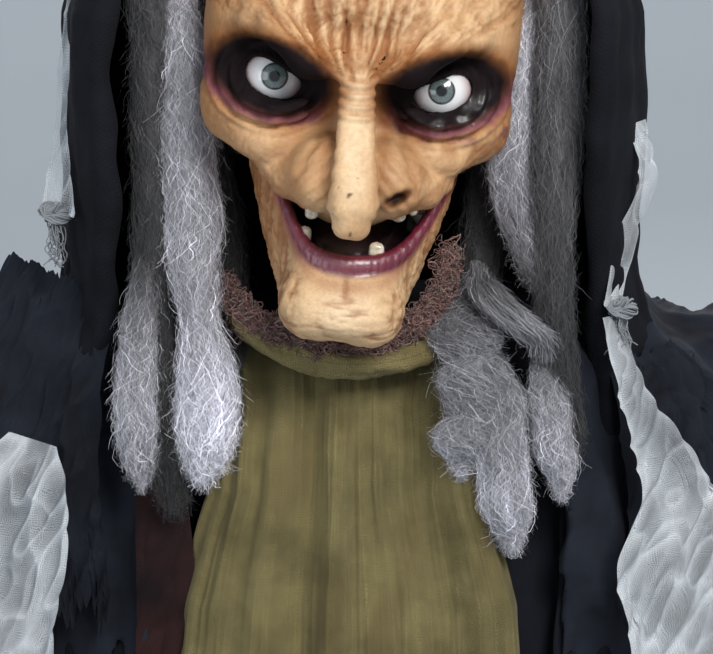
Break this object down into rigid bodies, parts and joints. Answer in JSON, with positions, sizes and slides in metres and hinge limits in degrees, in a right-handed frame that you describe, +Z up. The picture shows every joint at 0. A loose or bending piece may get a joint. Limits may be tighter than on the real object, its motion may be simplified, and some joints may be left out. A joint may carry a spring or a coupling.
{
  "type": "animated witch figure",
  "caption": "Life-size robed witch figure on a pole stand, with a motor-turned head, a motor-driven jaw and posable arms.",
  "frame": {"origin": "on the floor, under the centre of the pole", "axes": "+Z up along the pole; the figure faces -Y and its own left hand is on +X"},
  "size_m": [0.6511, 0.7925, 1.738],
  "materials": {
    "steel_tube": "dull bright tube",
    "black_plastic": "matt moulding",
    "white_plastic": "natural moulding",
    "red_plastic": "gloss moulding",
    "vinyl_skin": "hand-sprayed soft vinyl",
    "tooth_plastic": "gloss",
    "eye_plastic": "clear gloss over paint",
    "black_cloth": "thin woven polyester",
    "olive_gauze": "open-weave cotton gauze",
    "brown_yarn": "fluffy yarn",
    "white_gauze": "open-weave cheesecloth",
    "grey_hair": "combed synthetic fibre",
    "black_rubber": "matt",
    "bronze": "sintered",
    "circuit_green": "solder mask",
    "battery_shell": "printed sleeve",
    "speaker_paper": "paper cone and plated frame"
  },
  "bodies": {
    "stand": {"base_hub": "black_plastic", "base_legs": "steel_tube", "foot_caps": "black_rubber", "leg_screws": "steel_tube", "lower_pole": "steel_tube", "upper_pole": "steel_tube", "shoulder_frame": "steel_tube", "shoulder_nuts": "steel_tube", "control_box": "black_plastic", "control_box_cover": "black_plastic", "speaker": "speaker_paper", "batteries": "battery_shell", "circuit_board": "circuit_green", "signal_cable": "black_rubber", "neck_case": "black_plastic", "neck_lid": "black_plastic", "neck_bushes": "bronze", "neck_motor": "steel_tube", "hair_ends": "grey_hair", "robe": "black_cloth", "cape": "black_cloth", "tunic": "olive_gauze", "neck_ruff": "brown_yarn", "gauze_shawl": "white_gauze"},
    "head": {"neck_shaft": "steel_tube", "neck_gear": "white_plastic", "head_chassis": "black_plastic", "skull_shell": "black_plastic", "face_mask": "vinyl_skin", "eye_domes": "eye_plastic", "eye_leds": "white_plastic", "eye_bracket": "black_plastic", "upper_teeth": "tooth_plastic", "mouth_liner": "black_cloth", "jaw_motor": "steel_tube", "jaw_pins": "steel_tube", "hood": "black_cloth", "hair_locks": "grey_hair"},
    "jaw": {"jaw_carrier": "white_plastic", "jaw_mask": "vinyl_skin", "lower_teeth": "tooth_plastic"},
    "neck_drive_pinion": {"neck_pinion": "white_plastic"},
    "jaw_drive_pinion": {"jaw_pinion": "white_plastic"},
    "right_upper_arm_body": {"right_upper_arm": "steel_tube", "right_elbow_bolt": "steel_tube", "right_upper_sleeve": "black_cloth"},
    "right_forearm_body": {"right_forearm": "steel_tube", "right_hand": "vinyl_skin", "right_lower_sleeve": "black_cloth"},
    "left_upper_arm_body": {"left_upper_arm": "steel_tube", "left_elbow_bolt": "steel_tube", "left_upper_sleeve": "black_cloth"},
    "left_forearm_body": {"left_forearm": "steel_tube", "left_hand": "vinyl_skin", "left_lower_sleeve": "black_cloth"},
    "switch": {"power_switch": "red_plastic"},
    "knob": {"volume_knob": "black_plastic"},
    "button": {"test_button": "red_plastic"},
    "door": {"battery_door": "black_plastic"},
    "pole_button": {"snap_button": "steel_tube"}
  },
  "joints": [
    {"name": "head_turn", "type": "hinge", "parent": "stand", "child": "head", "pos_m": [0, -0.055, 1.5], "axis": [0, 0, 1], "range_deg": [-30, 30]},
    {"name": "neck_pinion_spin", "type": "hinge", "parent": "stand", "child": "neck_drive_pinion", "pos_m": [0.028, -0.055, 1.412], "axis": [0, 0, 1], "range_deg": [-125, 125]},
    {"name": "jaw_open", "type": "hinge", "parent": "head", "child": "jaw", "pos_m": [-0.00192, -0.08, 1.54808], "axis": [0.9962, 0, -0.0872], "range_deg": [0, 10]},
    {"name": "jaw_pinion_spin", "type": "hinge", "parent": "head", "child": "jaw_drive_pinion", "pos_m": [0.0002, -0.066, 1.57224], "axis": [0.9962, 0, -0.0872], "range_deg": [-44, 4]},
    {"name": "right_arm_raise", "type": "hinge", "parent": "stand", "child": "right_upper_arm_body", "pos_m": [-0.222, 0, 1.385], "axis": [-1, 0, 0], "range_deg": [-25, 45]},
    {"name": "right_elbow_bend", "type": "hinge", "parent": "right_upper_arm_body", "child": "right_forearm_body", "pos_m": [-0.222, -0.14, 1.14251], "axis": [-1, 0, 0], "range_deg": [-20, 30]},
    {"name": "left_arm_raise", "type": "hinge", "parent": "stand", "child": "left_upper_arm_body", "pos_m": [0.222, 0, 1.385], "axis": [-1, 0, 0], "range_deg": [-10, 60]},
    {"name": "left_elbow_bend", "type": "hinge", "parent": "left_upper_arm_body", "child": "left_forearm_body", "pos_m": [0.222, -0.07247, 1.11454], "axis": [-1, 0, 0], "range_deg": [-20, 30]},
    {"name": "power_switch_slide", "type": "slide", "parent": "stand", "child": "switch", "axis": [0, 0, 1], "range_m": [0, 0.006]},
    {"name": "volume_knob_turn", "type": "hinge", "parent": "stand", "child": "knob", "pos_m": [-0.055, 0.042, 0.53], "axis": [-1, 0, 0], "range_deg": [-135, 135]},
    {"name": "test_button_press", "type": "slide", "parent": "stand", "child": "button", "axis": [0, -1, 0], "range_m": [0, 0.003]},
    {"name": "battery_door_slide", "type": "slide", "parent": "stand", "child": "door", "axis": [0, 0, -1], "range_m": [0, 0.055]},
    {"name": "snap_button_press", "type": "slide", "parent": "stand", "child": "pole_button", "axis": [0, 1, 0], "range_m": [0, 0.0045]}
  ],
  "couplings": [
    {"joint": "neck_pinion_spin", "follows": "head_turn", "ratio": -4},
    {"joint": "jaw_pinion_spin", "follows": "jaw_open", "ratio": -4}
  ]
}
